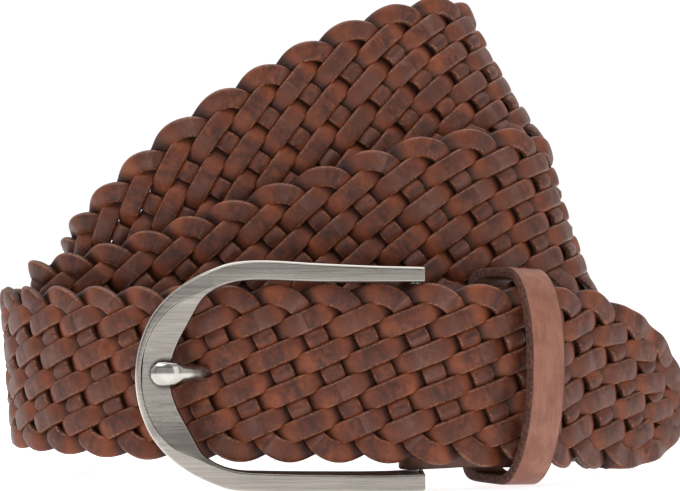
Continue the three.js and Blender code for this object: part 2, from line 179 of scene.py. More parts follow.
class Band:
    """The run of the band: middle, along, across, outward and half width at any distance."""

    STEPS = 24

    def __init__(self):
        spots = RUN[:, :2] * (COIL_WIDTH, COIL_DEPTH)
        headings = np.radians(RUN[:, 2])
        ways = np.stack([np.cos(headings), np.sin(headings)], 1)
        plan = []
        for i in range(len(RUN) - 1):
            chord = spots[i + 1] - spots[i]
            turn = headings[i + 1] - headings[i]
            reach = 4 / 3 * math.tan(turn / 4) / math.sin(turn)
            a, d = spots[i], spots[i + 1]
            b = a + ways[i] * reach * abs(chord @ ways[i])
            c = d - ways[i + 1] * reach * abs(chord @ ways[i + 1])
            for t in np.arange(self.STEPS) / self.STEPS:
                left = 1 - t
                plan.append(left ** 3 * a + 3 * left ** 2 * t * b + 3 * left * t * t * c + t ** 3 * d)
        plan.append(spots[-1])
        plan = np.array(plan)
        gone = np.concatenate([[0], np.cumsum(np.linalg.norm(np.diff(plan, axis=0), axis=1))])
        marks = gone[:: self.STEPS]
        steps = np.minimum(np.arange(len(plan)) // self.STEPS, len(RUN) - 2)
        span = marks[steps + 1] - marks[steps]
        t = (gone - marks[steps]) / span
        before = np.maximum(np.arange(len(RUN)) - 1, 0)
        after = np.minimum(np.arange(len(RUN)) + 1, len(RUN) - 1)

        def eased(column):
            values = RUN[:, column]
            slopes = (values[after] - values[before]) / (marks[after] - marks[before])
            return hermite(values[steps], values[steps + 1], slopes[steps], slopes[steps + 1], t, span)

        climbs = np.tan(np.radians(RUN[:, CLIMB]))
        heights = FRAME_MIDDLE + RUN[:, RISE] * FAN_RISE
        height = hermite(heights[steps], heights[steps + 1], climbs[steps], climbs[steps + 1], t, span)
        self.middle = np.column_stack([plan, height])
        self.distance = np.concatenate([[0], np.cumsum(np.linalg.norm(np.diff(self.middle, axis=0), axis=1))])
        last = len(plan) - 1
        index = np.arange(len(plan))
        self.along = unit(self.middle[np.minimum(index + 1, last)] - self.middle[np.maximum(index - 1, 0)])
        tilt, lean = np.radians(eased(TILT)), np.radians(eased(LEAN))
        across = np.column_stack([-np.sin(tilt), np.sin(lean), np.cos(tilt)])
        across -= self.along * np.sum(across * self.along, axis=1, keepdims=True)
        self.across = unit(across)
        self.outward = np.cross(self.along, self.across)
        self.half_width = eased(WIDTH) * BAND_WIDTH / 2
        self.length = self.distance[-1]

    def _read(self, table, at):
        if table.ndim == 1:
            return np.interp(at, self.distance, table)
        return np.stack([np.interp(at, self.distance, table[:, k]) for k in range(3)], -1)

    def frames(self, at):
        """Middle, along, across, outward and half width at each distance."""
        ways = [unit(self._read(table, at)) for table in (self.along, self.across, self.outward)]
        return (self._read(self.middle, at), *ways, self._read(self.half_width, at))

    def beside(self, at, out, up):
        """Points out from the band and up across it."""
        middle, _, across, outward, _ = self.frames(at)
        return middle + outward * np.asarray(out)[..., None] + across * np.asarray(up)[..., None]


band = Band()


class Channel:
    """A value that changes over a surface: a socket that takes part in sums."""

    def __init__(self, finish, socket):
        self.finish = finish
        self.socket = socket

    def sum(self, operation, *values):
        return self.finish.read("ShaderNodeMath", {"operation": operation}, dict(enumerate(values)))

    def __add__(self, other):
        return self.sum("ADD", self, other)

    __radd__ = __add__

    def __sub__(self, other):
        return self.sum("SUBTRACT", self, other)

    def __rsub__(self, other):
        return self.sum("SUBTRACT", other, self)

    def __mul__(self, other):
        return self.sum("MULTIPLY", self, other)

    def __pow__(self, other):
        return self.sum("POWER", self, other)

    def __abs__(self):
        return self.sum("ABSOLUTE", self)

    def step(self, low, high):
        """0 below low, 1 above high, eased between; the other way round when low is over high."""
        return self.finish.read("ShaderNodeMapRange", {"interpolation_type": "SMOOTHSTEP"},
                                {"Value": self, "From Min": low, "From Max": high})


class Finish:
    """One material, built from nodes around a single shader."""

    def __init__(self, name, **constants):
        self.material = bpy.data.materials.new(name)
        self.material.use_nodes = True
        self.tree = self.material.node_tree
        self.tree.nodes.clear()
        output = self.tree.nodes.new("ShaderNodeOutputMaterial")
        self.shader = self.tree.nodes.new("ShaderNodeBsdfPrincipled")
        self.tree.links.new(self.shader.outputs["BSDF"], output.inputs["Surface"])
        for socket, value in constants.items():
            self.shader.inputs[socket.replace("_", " ")].default_value = value

    def node(self, kind, settings, values):
        made = self.tree.nodes.new(kind)
        for key, value in settings.items():
            setattr(made, key, value)
        for key, value in values.items():
            self.feed(made.inputs[key], value)
        return made

    def feed(self, socket, value):
        if isinstance(value, Channel):
            self.tree.links.new(value.socket, socket)
        else:
            socket.default_value = value

    def read(self, kind, settings, values, output=0):
        return Channel(self, self.node(kind, settings, values).outputs[output])

    def attribute(self, name):
        return self.read("ShaderNodeAttribute", {"attribute_name": name}, {}, "Fac")

    def place(self, scale=(1, 1, 1)):
        spot = self.read("ShaderNodeTexCoord", {}, {}, "Object")
        return self.read("ShaderNodeMapping", {}, {"Vector": spot, "Scale": scale})

    def vector(self, x, y, z):
        return self.read("ShaderNodeCombineXYZ", {}, {"X": x, "Y": y, "Z": z})

    def axes(self):
        """The three coordinates of the object's own space, in metres."""
        spot = self.read("ShaderNodeTexCoord", {}, {}, "Object")
        split = self.node("ShaderNodeSeparateXYZ", {}, {"Vector": spot})
        return tuple(Channel(self, output) for output in split.outputs)

    def noise(self, where, scale, detail=3.0, roughness=0.5):
        return self.read("ShaderNodeTexNoise", {}, {
            "Vector": where, "Scale": scale, "Detail": detail, "Roughness": roughness})

    def blend(self, factor, a, b):
        made = self.node("ShaderNodeMix", {"data_type": "RGBA"}, {})
        self.feed(made.inputs["Factor"], factor)
        self.feed(made.inputs[6], a)
        self.feed(made.inputs[7], b)
        return Channel(self, made.outputs[2])

    def bump(self, height, distance, strength=1.0):
        return self.read("ShaderNodeBump", {}, {"Height": height, "Distance": distance, "Strength": strength})

    def wear(self, **channels):
        for socket, value in channels.items():
            self.feed(self.shader.inputs[socket.replace("_", " ")], value)
        return self.material


def shade(red, green, blue):
    """An sRGB colour of 0 to 255 as the linear colour that a shader takes."""
    return tuple((v / 255 / 12.92 if v <= 10 else ((v / 255 + 0.055) / 1.055) ** 2.4)
                 for v in (red, green, blue)) + (1.0,)


def braid_finish():
    f = Finish("braid_leather", IOR=1.45, Specular_IOR_Level=0.32)
    side = abs(f.attribute("side"))
    lift = f.attribute("lift")
    middle = f.attribute("mid_float")
    tone = f.attribute("tone")
    spot = f.place()
    cloud = f.noise(spot, 240, 4.0, 0.6)
    grain = f.noise(spot, 2600, 3.0, 0.6)
    patch = f.noise(spot, 620, 3.0, 0.65)
    along_strand = f.vector(f.attribute("gone") * 0.9, f.attribute("side") * 0.6, tone * 9)
    crease = f.noise(along_strand, 1.0, 4.0, 0.6)
    colour = f.blend(cloud.step(0.32, 0.68), shade(88, 40, 20), shade(122, 62, 34))
    colour = f.blend(tone * 0.55, colour, shade(70, 33, 20))
    stained = middle.step(0.1, 0.8) * (patch * 0.55 + crease * 0.45).step(0.26, 0.66)
    colour = f.blend(stained * 0.9, colour, shade(45, 22, 18))
    sheen = middle.step(0.35, 0.9) * tone.step(0.6, 0.85) * (patch * 0.6 + crease * 0.4).step(0.38, 0.6)
    colour = f.blend(sheen * 0.4, colour, shade(126, 86, 74))
    colour = f.blend(crease.step(0.52, 0.74) * 0.16, colour, shade(52, 26, 20))
    # partly rubbed wear, partly a painted rim highlight: lighter thin lines along the rounded edges of the
    # raised strands
    rubbed_and_highlit_edge = side.step(0.74, 0.86) * lift.step(0.2, 0.9) * grain.step(0.4, 0.65)
    colour = f.blend(rubbed_and_highlit_edge * 0.4, colour, shade(176, 122, 92))
    # painted shade: darker where a strand dives under its neighbours
    colour = f.blend(lift.step(0.3, -0.8) * 0.85, colour, shade(26, 13, 10))
    colour = f.blend(side.step(0.93, 1.0) * 0.75, colour, shade(34, 18, 13))
    rough = 0.27 + cloud * 0.14 + grain * 0.16 + crease * 0.1
    relief = f.bump(grain * 0.6 + patch * 0.3 + crease * 0.4, 0.00018, 0.8)
    return f.wear(Base_Color=colour, Roughness=rough, Normal=relief)


def plain_leather(name, dark, light, cut, roughness):
    f = Finish(name, IOR=1.45, Specular_IOR_Level=0.4)
    spot = f.place()
    cloud = f.noise(spot, 150, 4.0, 0.6)
    grain = f.noise(spot, 2300, 4.0, 0.65)
    fibre = f.noise(spot, 1500, 5.0, 0.75)
    streak = f.noise(f.place((900, 900, 90)), 1.0, 3.0, 0.6)
    pores = f.read("ShaderNodeTexVoronoi", {}, {"Vector": spot, "Scale": 1500.0}, "Distance")
    edge = f.attribute("cut_edge")
    colour = f.blend((cloud * 0.6 + streak * 0.4).step(0.38, 0.62), dark, light)
    colour = f.blend(grain.step(0.42, 0.8) * 0.35, colour, dark)
    fibres = f.blend(fibre.step(0.42, 0.66), cut, f.blend(0.45, cut, light))
    colour = f.blend(edge, colour, fibres)
    rough = roughness + grain * 0.14 + edge * 0.2
    relief = f.bump(pores * 0.4 + grain * 0.6 + edge * fibre * 3, 0.00012, 0.6)
    return f.wear(Base_Color=colour, Roughness=rough, Normal=relief)


def satin_metal():
    f = Finish("satin_nickel", Metallic=1.0)
    brush = f.noise(f.place((14, 900, 1700)), 1.6, 3.0, 0.7)
    broad = f.noise(f.place((5, 120, 260)), 1.0, 2.0, 0.6)
    cloud = f.noise(f.place(), 60, 2.0, 0.5)
    colour = f.blend(brush.step(0.3, 0.7) * 0.55 + broad.step(0.3, 0.7) * 0.35,
                     shade(118, 113, 108), shade(160, 154, 147))
    # painted highlight: lighter colour along the frame's outer rim and inner bevel, which are also made
    # smoother
    rim = f.attribute("worn_rim").step(0.55, 1.0)
    colour = f.blend(rim * 0.8, colour, shade(216, 211, 203))
    x, _, z = f.axes()
    # painted shade: the frame's colour darkens upwards, most at the upper arm
    colour = f.blend(z.step(0.002, 0.043) * 0.24, colour, shade(40, 38, 36))
    # painted shadow: the frame darkens round the spot where the prong's head rests
    past = x.sum("MAXIMUM", PRONG_SEAT[0] * MM - x, 0.0)
    aside = z - PRONG_SEAT[1] * MM
    near = (past * past + aside * aside) ** 0.5
    colour = f.blend(near.step(0.0034, 0.0025) * 0.8, colour, shade(46, 40, 36))
    rough = 0.17 + brush * 0.12 + cloud * 0.05 - rim * 0.08
    relief = f.bump(brush, 0.00002, 0.3)
    return f.wear(Base_Color=colour, Roughness=rough, Normal=relief)


def polished_metal():
    f = Finish("polished_nickel", Metallic=1.0)
    cloud = f.noise(f.place(), 300, 3.0, 0.6)
    colour = f.blend(cloud.step(0.35, 0.7), shade(158, 154, 148), shade(174, 170, 164))
    return f.wear(Base_Color=colour, Roughness=0.1 + cloud * 0.07)


def add_mesh(name, points, faces, material=None):
    mesh = bpy.data.meshes.new(name)
    places = (np.asarray(points) + BELT_ORIGIN) * MM
    mesh.from_pydata([tuple(p) for p in places], [], [tuple(f) for f in faces])
    mesh.validate()
    if material:
        mesh.materials.append(material)
    piece = bpy.data.objects.new(name, mesh)
    bpy.context.scene.collection.objects.link(piece)
    return piece


def mark(piece, name, values):
    """Gives each point a value that the piece's finish reads."""
    attribute = piece.data.attributes.new(name, "FLOAT", "POINT")
    attribute.data.foreach_set("value", np.asarray(values, np.float32))


def face_out(piece):
    """Merges doubles and turns the faces of a closed body outwards."""
    body = bmesh.new()
    body.from_mesh(piece.data)
    bmesh.ops.remove_doubles(body, verts=body.verts, dist=1e-6)
    bmesh.ops.recalc_face_normals(body, faces=body.faces)
    body.to_mesh(piece.data)
    body.free()


def skin(rings, closed=False):
    """Points and faces of one body through rings of the same number of points."""
    count = len(rings[0])
    turns = len(rings)
    faces = []
    for r in range(turns if closed else turns - 1):
        n = (r + 1) % turns
        for k in range(count):
            j = (k + 1) % count
            faces.append((r * count + k, r * count + j, n * count + j, n * count + k))
    if not closed:
        faces.append(tuple(range(count)))
        faces.append(tuple((turns - 1) * count + k for k in reversed(range(count))))
    return np.concatenate(rings), faces


def finish_piece(piece, node):
    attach(piece, "root")
    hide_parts(node)


def smooth(piece, angle=35):
    """Smooth faces with sharp edges kept where the surface turns by more than the angle."""
    piece.data.shade_smooth()
    body = bmesh.new()
    body.from_mesh(piece.data)
    limit = math.radians(angle)
    for edge in body.edges:
        edge.smooth = len(edge.link_faces) < 2 or edge.calc_face_angle(0) < limit
    body.to_mesh(piece.data)
    body.free()


def bevel(piece, width, segments=3, angle=28):
    made = piece.modifiers.new("softened edges", "BEVEL")
    made.width = width * MM
    made.segments = segments
    made.limit_method = "ANGLE"
    made.angle_limit = math.radians(angle)
    piece.modifiers.new("even shading", "WEIGHTED_NORMAL").keep_sharp = True


def fillet(corner, way_in, way_out, radius, steps):
    """Points of an arc that rounds a corner between two directions."""
    turn = math.acos(np.clip(way_in @ way_out, -1, 1))
    reach = radius * math.tan(turn / 2)
    inward = unit(way_out - way_in)
    centre = corner + inward * radius / math.cos(turn / 2)
    first = corner - way_in * reach - centre
    angles = turn * np.arange(steps + 1) / steps
    return centre + np.outer(np.cos(angles), first) + np.outer(np.sin(angles), way_in * radius)


def weave_period():
    """One strand between two turns at the upper edge: its points, the way gone, and its crossings."""
    half = WEAVE_SPAN / 2
    period = PITCH * STRANDS
    top, low, next_top = np.array([0, half]), np.array([STEEP_RUN, -half]), np.array([period, half])
    steep, shallow = unit(low - top), unit(next_top - low)
    arc_top = fillet(top, shallow, steep, CORNER_RADIUS, CORNER_STEPS)
    arc_low = fillet(low, steep, shallow, CORNER_RADIUS, CORNER_STEPS)
    mid_arc = CORNER_STEPS // 2

    def straight(a, b, steps):
        return a + np.outer(np.arange(1, steps) / steps, b - a)

    points = np.concatenate([
        arc_top[mid_arc:], straight(arc_top[-1], arc_low[0], 26), arc_low,
        straight(arc_low[-1], arc_top[0] + (period, 0), 60), arc_top[: mid_arc + 1] + (period, 0),
    ])
    keep = np.concatenate([[True], np.linalg.norm(np.diff(points, axis=0), axis=1) > 1e-6])
    points = points[keep]
    gone = np.concatenate([[0], np.cumsum(np.linalg.norm(np.diff(points, axis=0), axis=1))])
    lowest = int(np.argmin(points[:, 1]))
    down, up = points[: lowest + 1], points[lowest:]
    crossings = []
    for m in range(1, STRANDS):
        shift = (m - STRANDS) * PITCH
        heights = np.linspace(-half + CROSSINGS_INSET, half - CROSSINGS_INSET, 4000)
        down_at = np.interp(heights, down[::-1, 1], down[::-1, 0])
        up_at = np.interp(heights, up[:, 1], up[:, 0]) + shift
        level = heights[int(np.argmin(np.abs(down_at - up_at)))]
        sign = 1 if m % 2 else -1
        crossings.append((np.interp(level, down[::-1, 1], gone[: lowest + 1][::-1]), sign))
        crossings.append((np.interp(level, up[:, 1], gone[lowest:]), -sign))
    crossings.sort()
    return points, gone, np.array(crossings)


def weave_lift(gone, total, crossings):
    """How far a strand stands out, from -1 to 1, and how near it is to the middle of a float."""
    places = np.concatenate([[crossings[-1, 0] - total], crossings[:, 0], [crossings[0, 0] + total]])
    signs = np.concatenate([[crossings[-1, 1]], crossings[:, 1], [crossings[0, 1]]])
    i = np.clip(np.searchsorted(places, gone, side="right") - 1, 0, len(places) - 2)
    span = places[i + 1] - places[i]
    t = (gone - places[i]) / span
    rising = signs[i + 1] > signs[i]
    from_over = np.where(rising, 1 - t, t)
    start = np.where(span > LONG_FLOAT, LONG_DIVE[0], 0.0)
    end = np.where(span > LONG_FLOAT, LONG_DIVE[1], 1.0)
    s = np.clip((from_over - start) / (end - start), 0, 1)
    lift = np.cos(np.pi * s)
    near = 1 - np.clip(from_over / FLOAT_MIDDLE_REACH, 0, 1)
    return lift, near


def opened(distance):
    """Where a place on the evenly woven band ends up, once the weave opens towards the tip."""
    start = band.length - TIP_OPENING_FROM
    over = np.maximum(distance - start, 0)
    share = 1 + TIP_OPENING * np.clip(over / TIP_OPENING_OVER, 0, 1)
    return np.where(distance > start, start + over * share, distance)


def strand_spine(index, random):
    """Centre line of one strand: points, outward ways, and the values that its finish reads."""
    points, gone, crossings = weave_period()
    total = gone[-1]
    lift, near = weave_lift(gone, total, crossings)
    period = PITCH * STRANDS
    turns = int(band.length / period) + 4
    along, up, lifts, nears, tones = [], [], [], [], []
    for turn in range(-2, turns):
        start = WEAVE_START + index * PITCH + turn * period
        cell = np.searchsorted(crossings[:, 0], gone)
        tone = random.random(len(crossings) + 1)[np.clip(cell, 0, len(crossings))]
        along.append(points[:-1, 0] + start)
        up.append(points[:-1, 1])
        lifts.append(lift[:-1])
        nears.append(near[:-1])
        tones.append(tone[:-1])
    along, up = np.concatenate(along), np.concatenate(up)
    lifts, nears, tones = np.concatenate(lifts), np.concatenate(nears), np.concatenate(tones)
    wander = np.cumsum(np.full(len(along), SWAY_STEP))
    along = along + sum(reach * np.sin(wander / wave + shift * index) for reach, wave, shift in SWAY)
    along = opened(along + np.interp(along, WEAVE_CREEP[:, 0], WEAVE_CREEP[:, 1]))
    inside = (along > CUT_START) & (along < band.length - CUT_TIP)
    first, last = np.argmax(inside), len(inside) - np.argmax(inside[::-1])
    part = slice(first, last)
    along, up, lifts, nears, tones = along[part], up[part], lifts[part], nears[part], tones[part]
    left = (band.length - along) / BAND_WIDTH
    half = band.frames(along)[4] / (BAND_WIDTH / 2)
    above = np.interp(left, TIP[:, 0], TIP[:, 1])
    below = np.interp(left, TIP[:, 0], TIP[:, 2])
    limit = BAND_WIDTH / 2 * half
    span = np.maximum((above + below) / 2 * limit - STRAND_WIDTH / 2, 0) / (BAND_WIDTH / 2 - STRAND_WIDTH / 2)
    up = (above - below) / 2 * limit + up * span
    spine = band.beside(along, lifts * WEAVE_LIFT, up)
    outward = band.frames(along)[3]
    return spine, outward, lifts, nears, tones


def strand_tree():
    """Sweeps a flat, round-edged strand along a centre line that carries its own outward ways."""
    tree = bpy.data.node_groups.new("braid strand", "GeometryNodeTree")
    face = tree.interface
    face.new_socket("Spine", in_out="INPUT", socket_type="NodeSocketGeometry")
    for name in ("Strand Width", "Strand Thickness", "Rounding", "Crown"):
        face.new_socket(name, in_out="INPUT", socket_type="NodeSocketFloat")
    face.new_socket("Leather", in_out="INPUT", socket_type="NodeSocketMaterial")
    face.new_socket("Strand", in_out="OUTPUT", socket_type="NodeSocketGeometry")

    def node(kind, settings=None, **values):
        made = tree.nodes.new(kind)
        for key, value in (settings or {}).items():
            setattr(made, key, value)
        for key, value in values.items():
            socket = made.inputs[key.replace("_", " ")]
            if isinstance(value, bpy.types.NodeSocket):
                tree.links.new(value, socket)
            else:
                socket.default_value = value
        return made

    given = node("NodeGroupInput").outputs

    def maths(operation, a, b):
        made = tree.nodes.new("ShaderNodeMath")
        made.operation = operation
        for socket, value in zip(made.inputs, (a, b)):
            if isinstance(value, bpy.types.NodeSocket):
                tree.links.new(value, socket)
            else:
                socket.default_value = value
        return made.outputs[0]

    outline = node("GeometryNodeCurvePrimitiveQuadrilateral",
                   Width=given["Strand Thickness"], Height=given["Strand Width"])
    outline = node("GeometryNodeFilletCurve", {"mode": "POLY"}, Curve=outline.outputs[0], Count=2,
                   Radius=given["Rounding"], Limit_Radius=True)
    outline = node("GeometryNodeResampleCurve", {"mode": "LENGTH"}, Curve=outline.outputs[0], Length=0.00045)
    spot = node("ShaderNodeSeparateXYZ", Vector=node("GeometryNodeInputPosition").outputs[0]).outputs
    half_width = maths("MULTIPLY", given["Strand Width"], 0.5)
    side = maths("DIVIDE", spot["Y"], half_width)
    flatness = maths("SUBTRACT", 1.0, maths("MULTIPLY", side, side))
    outwardness = maths("SIGN", spot["X"], 0.0)
    push = maths("MULTIPLY", maths("MULTIPLY", flatness, given["Crown"]), outwardness)
    shift = node("ShaderNodeCombineXYZ", X=push)
    marked = node("GeometryNodeStoreNamedAttribute", {"data_type": "FLOAT", "domain": "POINT"},
                  Geometry=outline.outputs[0], Name="side", Value=side)
    profile = node("GeometryNodeSetPosition", Geometry=marked.outputs[0], Offset=shift.outputs[0])
    spine = node("GeometryNodeMeshToCurve", Mesh=given["Spine"])
    outward = node("GeometryNodeInputNamedAttribute", {"data_type": "FLOAT_VECTOR"}, Name="outward")
    turned = node("GeometryNodeSetCurveNormal", {"mode": "FREE"}, Curve=spine.outputs[0],
                  Normal=outward.outputs["Attribute"])
    swell = node("GeometryNodeInputNamedAttribute", {"data_type": "FLOAT"}, Name="swell")
    sized = node("GeometryNodeSetCurveRadius", Curve=turned.outputs[0], Radius=swell.outputs["Attribute"])
    radius = node("GeometryNodeInputRadius")
    swept = node("GeometryNodeCurveToMesh", Curve=sized.outputs[0], Profile_Curve=profile.outputs[0],
                 Scale=radius.outputs[0], Fill_Caps=True)
    soft = node("GeometryNodeSetShadeSmooth", Geometry=swept.outputs[0])
    real = node("GeometryNodeRealizeInstances", Geometry=soft.outputs[0])
    dyed = node("GeometryNodeSetMaterial", Geometry=real.outputs[0], Material=given["Leather"])
    result = node("NodeGroupOutput")
    tree.links.new(dyed.outputs[0], result.inputs["Strand"])
    return tree


def set_inputs(modifier, **values):
    """Sets a modifier's named inputs by their identifiers."""
    for item in modifier.node_group.interface.items_tree:
        key = item.name.replace(" ", "_")
        if item.in_out == "INPUT" and key in values:
            modifier[item.identifier] = values[key]


def plain_mesh(holder, name):
    """The result of an object's modifiers as a plain mesh on a new object."""
    bpy.context.view_layer.update()
    evaluated = holder.evaluated_get(bpy.context.evaluated_depsgraph_get())
    mesh = bpy.data.meshes.new_from_object(evaluated, preserve_all_data_layers=True,
                                           depsgraph=bpy.context.evaluated_depsgraph_get())
    bpy.data.objects.remove(holder)
    mesh.name = name
    piece = bpy.data.objects.new(name, mesh)
    bpy.context.scene.collection.objects.link(piece)
    return piece


def border_spine():
    """Centre line of the strand end that folds round the rounded tip and lies over the cut ends."""
    rows = TIP[TIP[:, 0] < BORDER_REACH]
    half = band.frames(band.length - rows[:, 0] * BAND_WIDTH)[4]
    upper = np.column_stack([-rows[:, 0] * BAND_WIDTH, rows[:, 1] * half])[::-1]
    lower = np.column_stack([-rows[:, 0] * BAND_WIDTH, -rows[:, 2] * half])
    outline = np.concatenate([upper, lower])
    gone = np.concatenate([[0], np.cumsum(np.linalg.norm(np.diff(outline, axis=0), axis=1))])
    at = np.linspace(0, gone[-1], BORDER_POINTS)
    outline = np.stack([np.interp(at, gone, outline[:, k]) for k in range(2)], -1)
    blur = np.hanning(BORDER_BLUR) / np.hanning(BORDER_BLUR).sum()
    pad = BORDER_BLUR // 2
    padded = np.concatenate([np.repeat(outline[:1], pad, 0), outline, np.repeat(outline[-1:], pad, 0)])
    outline = np.stack([np.convolve(padded[:, k], blur, "valid") for k in range(2)], -1)
    ways = unit(np.gradient(outline, axis=0))
    inset = outline + np.column_stack([ways[:, 1], -ways[:, 0]]) * STRAND_WIDTH * BORDER_INSET
    lifts = BORDER_LIFT + BORDER_WAVE * np.cos(at * 2 * np.pi / BORDER_FOLD)
    places = band.length + inset[:, 0]
    above = 2 * np.minimum(1, np.minimum(at, at[-1] - at) / BORDER_DIVE) - 1
    spine = band.beside(places, (lifts * WEAVE_LIFT + BORDER_STAND) * above, inset[:, 1])
    nears = np.abs(np.cos(at * np.pi / BORDER_FOLD))
    tones = np.floor(at / BORDER_FOLD) * BORDER_TONE_STEP % 1
    return spine, band.frames(places)[3], lifts * above, nears, tones


def add_strands(leather):
    tree = strand_tree()
    random = np.random.default_rng(7)
    lines = {f"strand_{index + 1:02d}": strand_spine(index, random) for index in range(STRANDS)}
    lines["tip_border"] = border_spine()
    for index, (name, (spine, outward, lifts, nears, tones)) in enumerate(lines.items()):
        mesh = bpy.data.meshes.new(name + "_spine")
        places = (spine + BELT_ORIGIN) * MM
        mesh.from_pydata([tuple(p) for p in places], [(i, i + 1) for i in range(len(places) - 1)], [])
        mesh.attributes.new("outward", "FLOAT_VECTOR", "POINT").data.foreach_set("vector", outward.ravel())
        steps = np.linalg.norm(np.diff(spine, axis=0), axis=1)
        gone = np.concatenate([[0], np.cumsum(steps)]) + GRAIN_SHIFT * index
        swell = SWELL_LOW + (SWELL_HIGH - SWELL_LOW) * (lifts + 1) / 2
        if name != "tip_border":
            swell += TIP_SWELL * np.clip(np.arange(-len(swell), 0) / TIP_SWELL_STEPS + 1, 0, 1)
        marks = {"lift": lifts, "mid_float": nears, "tone": tones, "gone": gone, "swell": swell}
        for key, values in marks.items():
            mesh.attributes.new(key, "FLOAT", "POINT").data.foreach_set("value", values.astype(np.float32))
        holder = bpy.data.objects.new(name + "_spine", mesh)
        bpy.context.scene.collection.objects.link(holder)
        sweep = holder.modifiers.new("strand", "NODES")
        sweep.node_group = tree
        set_inputs(sweep, Strand_Width=STRAND_WIDTH * MM, Strand_Thickness=STRAND_THICKNESS * MM,
                   Rounding=STRAND_ROUNDING * MM, Crown=STRAND_CROWN * MM, Leather=leather)
        piece = plain_mesh(holder, name)
        finish_piece(piece, "strap")


# The frame from an arm's end to the middle of its curve. Columns: outer and inner edge along, as shares of
# the length; outer and inner edge of the upper arm, then of the lower arm, as shares of half the height;
# where the flat rim ends, as a share of the width; front and back, as shares of the depth.
FRAME_HALF = np.array([
    (0.2946, 0.2946, 0.94, 0.815, 0.992, 0.85, 0.94, -0.2378, 0.6084),
    (0.2804, 0.2804, 0.945, 0.815, 1, 0.85, 0.94, -0.2517, 0.6294),
    (0.1375, 0.1375, 0.953, 0.815, 1, 0.857, 0.94, -0.2797, 0.4895),
    (-0.0714, -0.0714, 0.975, 0.815, 1, 0.85, 0.94, -0.3217, 0.3217),
    (-0.2679, -0.2679, 1, 0.83, 1, 0.836, 0.94, -0.3497, 0.1399),
    (-0.375, -0.3571, 0.98, 0.815, 0.98, 0.815, 0.94, -0.3636, -0.0629),
    (-0.45, -0.4214, 0.915, 0.762, 0.915, 0.762, 0.92, -0.3706, -0.1678),
    (-0.5179, -0.4714, 0.83, 0.675, 0.83, 0.675, 0.8, -0.3706, -0.1818),
    (-0.5893, -0.5054, 0.698, 0.54, 0.698, 0.54, 0.42, -0.3706, -0.1818),
    (-0.6429, -0.5304, 0.545, 0.425, 0.545, 0.425, 0.28, -0.3706, -0.1818),
    (-0.6768, -0.5571, 0.38, 0.3, 0.38, 0.3, 0.22, -0.3706, -0.1818),
    (-0.6982, -0.5786, 0.195, 0.155, 0.195, 0.155, 0.2, -0.3706, -0.1818),
    (-0.7054, -0.5857, 0, 0, 0, 0, 0.2, -0.3706, -0.1818),
])
RIM_BEVEL = 0.5
RIM_STEP_SHARE = 0.4
RIM_FADE = 1.4
PLATE_STEP = 0.35
PLATE_SLOPE = 0.5
PLATE_SUNK = 0.06
INNER_EDGE_SHARE = 0.3
INNER_EDGE_SUNK = 0.12
INNER_EDGE_BEVEL = 0.5
# how strongly each point of a section gets the painted rim highlight, in the order in which frame_ring gives
# them
SECTION_HIGHLIGHT = (1.0, 0.4, 0.0, 0.0, 0.6, 1.0, 0.2, 0.0, 0.3)
FRAME_SECTIONS = 190
BAR_ALONG_SHARE = 0.2625
BAR_DEPTH_SHARE = 0.4336
BAR_SIDES = 32


def eased_rows(rows, places, count):
    """Rows at even spacing along their places, with smooth slopes."""
    index = np.arange(len(rows))
    before, after = np.maximum(index - 1, 0), np.minimum(index + 1, len(rows) - 1)
    slopes = (rows[after] - rows[before]) / (places[after] - places[before])[:, None]
    at = np.linspace(places[0], places[-1], count)
    i = np.clip(np.searchsorted(places, at, side="right") - 1, 0, len(rows) - 2)
    span = (places[i + 1] - places[i])[:, None]
    t = (at - places[i])[:, None] / span
    return hermite(rows[i], rows[i + 1], slopes[i], slopes[i + 1], t, span)


def frame_ring(row):
    out_x, out_z, in_x, in_z, rim, front, back = row
    across = math.hypot(out_x - in_x, out_z - in_z)
    edge = RIM_BEVEL / across
    flat = min(1.0, (1 - rim) * RIM_FADE)
    inner = front + (PLATE_STEP + PLATE_SLOPE) * flat
    shares = [0, edge, rim - edge * RIM_STEP_SHARE, rim, 1 - edge * INNER_EDGE_SHARE * flat, 1, 1, edge, 0]
    depths = [front + RIM_BEVEL, front, front, front + PLATE_STEP * flat + PLATE_SUNK,
              inner + INNER_EDGE_SUNK, inner + INNER_EDGE_BEVEL, back, back, back - RIM_BEVEL]
    return np.array([(out_x + (in_x - out_x) * share, depth, out_z + (in_z - out_z) * share)
                     for share, depth in zip(shares, depths)])


def bar_place():
    return np.array([FRAME_LENGTH * BAR_ALONG_SHARE, FRAME_DEPTH * BAR_DEPTH_SHARE])


